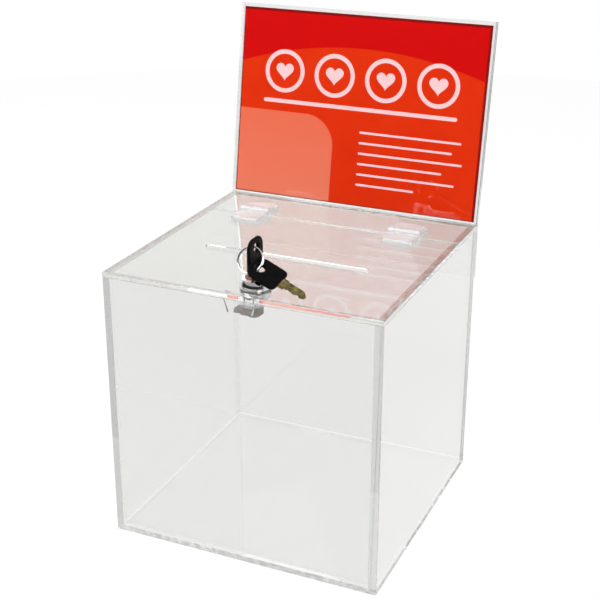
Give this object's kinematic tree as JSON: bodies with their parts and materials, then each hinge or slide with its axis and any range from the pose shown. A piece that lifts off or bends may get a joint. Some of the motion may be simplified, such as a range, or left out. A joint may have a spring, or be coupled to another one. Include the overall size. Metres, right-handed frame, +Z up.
{
  "type": "donation box",
  "caption": "Clear acrylic donation box with a hinged slotted lid, a cam lock with keys on a ring, and a leaning sign holder behind it.",
  "frame": {"origin": "middle of the underside of the bottom panel", "axes": "X to the right seen from the front, Y to the back, Z up; the front panel faces -Y"},
  "size_m": [0.215, 0.2382, 0.3705],
  "materials": {
    "clear_acrylic": "polished clear acrylic sheet",
    "hinge_plastic": "moulded clear plastic",
    "steel": "zinc plated steel",
    "chrome": "polished chrome plate",
    "ring_steel": "bright nickel plate",
    "black_plastic": "moulded black plastic",
    "brass": "pale nickel silver and brass",
    "printed_card": "printed card"
  },
  "bodies": {
    "box": {"bottom_panel": "clear_acrylic", "front_panel": "clear_acrylic", "back_panel": "clear_acrylic", "left_panel": "clear_acrylic", "right_panel": "clear_acrylic", "hinge_strip": "clear_acrylic", "sign_back_plate": "clear_acrylic", "sign_front_plate": "clear_acrylic", "sign_spacer_left": "clear_acrylic", "sign_spacer_right": "clear_acrylic", "sign_spacer_base": "clear_acrylic", "left_hinge_fixed_leaf": "hinge_plastic", "right_hinge_fixed_leaf": "hinge_plastic", "left_hinge_pin": "hinge_plastic", "right_hinge_pin": "hinge_plastic", "lock_catch": "clear_acrylic"},
    "lid": {"lid": "clear_acrylic", "left_hinge_lid_leaf": "hinge_plastic", "right_hinge_lid_leaf": "hinge_plastic", "lock_housing": "chrome", "lock_washer": "steel", "lock_nut": "steel"},
    "lock_plug": {"lock_plug": "steel", "lock_cam": "steel", "cam_screw": "steel"},
    "key": {"key_bow": "black_plastic", "key_blade": "brass"},
    "ring": {"key_ring": "ring_steel"},
    "spare_key": {"spare_key_bow": "black_plastic", "spare_key_blade": "brass"},
    "insert": {"sign_insert": "printed_card"}
  },
  "joints": [
    {"name": "lid_hinge", "type": "hinge", "parent": "box", "child": "lid", "pos_m": [0, 0.0567, 0.21835], "axis": [-1, 0, 0], "range_deg": [0, 90]},
    {"name": "key_turn", "type": "hinge", "parent": "lid", "child": "lock_plug", "pos_m": [0.0046, -0.0845, 0.215], "axis": [0, 0, 1], "range_deg": [0, 90]},
    {"name": "key_pull", "type": "slide", "parent": "lock_plug", "child": "key", "axis": [0, 0, 1], "range_m": [0, 0.018]},
    {"name": "ring_swing", "type": "hinge", "parent": "key", "child": "ring", "pos_m": [0.0046, -0.0845, 0.2442], "axis": [-1, 0, 0], "range_deg": [0, 40]},
    {"name": "spare_key_swing", "type": "hinge", "parent": "ring", "child": "spare_key", "pos_m": [0.0129, -0.09459, 0.23283], "axis": [0.3658, -0.275, 0.8891], "range_deg": [-10, 10]},
    {"name": "insert_slide", "type": "slide", "parent": "box", "child": "insert", "axis": [0, 0.1564, 0.9877], "range_m": [0, 0.15]}
  ]
}
